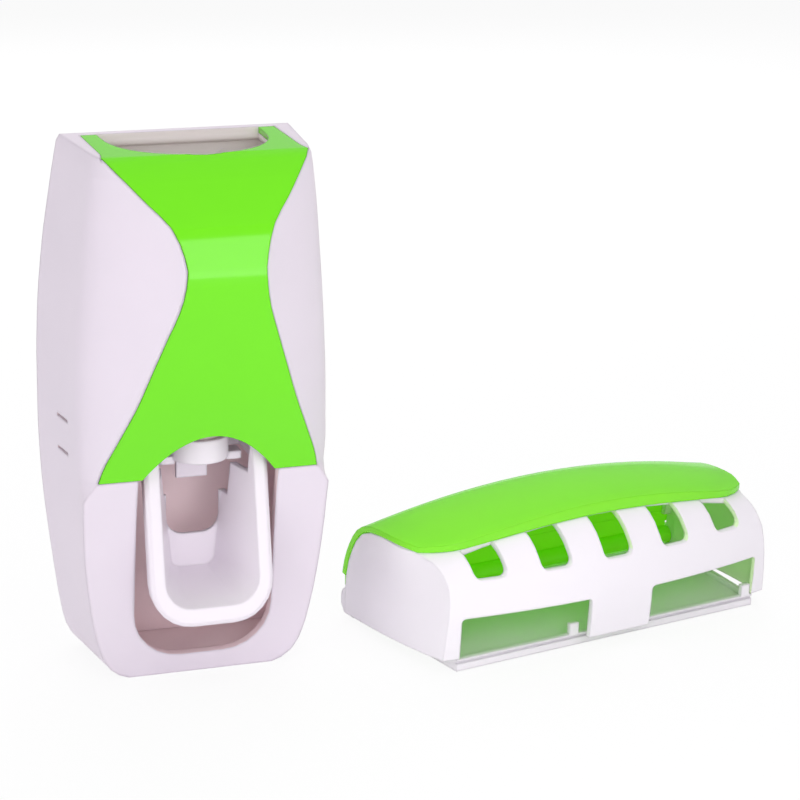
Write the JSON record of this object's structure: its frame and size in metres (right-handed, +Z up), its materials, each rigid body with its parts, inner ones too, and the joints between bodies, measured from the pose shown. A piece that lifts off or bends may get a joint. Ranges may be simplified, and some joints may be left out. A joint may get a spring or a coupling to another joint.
{
  "type": "toothbrush holder with toothpaste dispenser",
  "caption": "Push-lever toothpaste dispenser with a waisted glossy cover, beside a low toothbrush rack with a hinged arched cover, neck slots and front windows.",
  "frame": {"origin": "centre of the dispenser's foot, on the surface that both halves stand on", "axes": "+Z up, -Y out of the dispenser's front, +X towards the rack"},
  "size_m": [0.2533, 0.0943, 0.1755],
  "materials": {
    "white_plastic": "satin moulded ABS, faintly lilac white",
    "lever_plastic": "smooth moulded ABS",
    "green_plastic": "high gloss lime green ABS",
    "inner_plastic": "plain moulded polypropylene",
    "silicone": "soft translucent grey",
    "steel": "plain stainless",
    "foam_tape": "closed-cell foam tape"
  },
  "bodies": {
    "dispenser": {"housing": "white_plastic", "pump_deck": "inner_plastic", "front_cover": "green_plastic", "back_panel": "white_plastic", "panel_screw_low_left": "steel", "panel_screw_low_right": "steel", "panel_screw_high_left": "steel", "panel_screw_high_right": "steel", "lever_pin_left": "steel", "lever_pin_right": "steel", "pump_body": "inner_plastic", "pump_screw_left": "steel", "pump_screw_right": "steel", "tube_seal": "silicone", "inlet_valve": "silicone", "outlet_valve": "silicone", "nozzle_collar": "lever_plastic", "return_spring": "steel"},
    "lever": {"push_lever": "lever_plastic"},
    "piston": {"pump_piston": "inner_plastic", "piston_seal": "silicone"},
    "plate": {"wall_plate": "inner_plastic", "wall_pad": "foam_tape"},
    "rack_foot": {"rack_base": "white_plastic", "rack_pad_front": "foam_tape", "rack_pad_back": "foam_tape"},
    "rack_body": {"rack_housing": "white_plastic"},
    "rack_lid": {"rack_cover": "green_plastic"}
  },
  "joints": [
    {"name": "lever_press", "type": "hinge", "parent": "dispenser", "child": "lever", "pos_m": [0, -0.01, 0.086], "axis": [1, 0, 0], "range_deg": [0, 11], "stiffness_Nm_per_rad": 1.2, "springref_deg": -8.59},
    {"name": "piston_stroke", "type": "slide", "parent": "dispenser", "child": "piston", "axis": [0, 0, 1], "range_m": [0, 0.0028], "deforming": ["return_spring"]},
    {"name": "plate_release", "type": "slide", "parent": "dispenser", "child": "plate", "axis": [0, 0, -1], "range_m": [0, 0.056]},
    {"name": "rack_pick_up", "type": "slide", "parent": "dispenser", "child": "rack_foot", "axis": [0, 0, 1], "range_m": [0, 0.19]},
    {"name": "rack_unclip", "type": "slide", "parent": "rack_foot", "child": "rack_body", "axis": [0, 0, 1], "range_m": [0, 0.05]},
    {"name": "rack_cover_lift", "type": "hinge", "parent": "rack_body", "child": "rack_lid", "pos_m": [0.12916, 0.02749, 0.0066], "axis": [-0.9781, -0.2079, 0], "range_deg": [0, 95]}
  ],
  "couplings": [
    {"joint": "piston_stroke", "follows": "lever_press", "m_per_rad": 0.014}
  ]
}
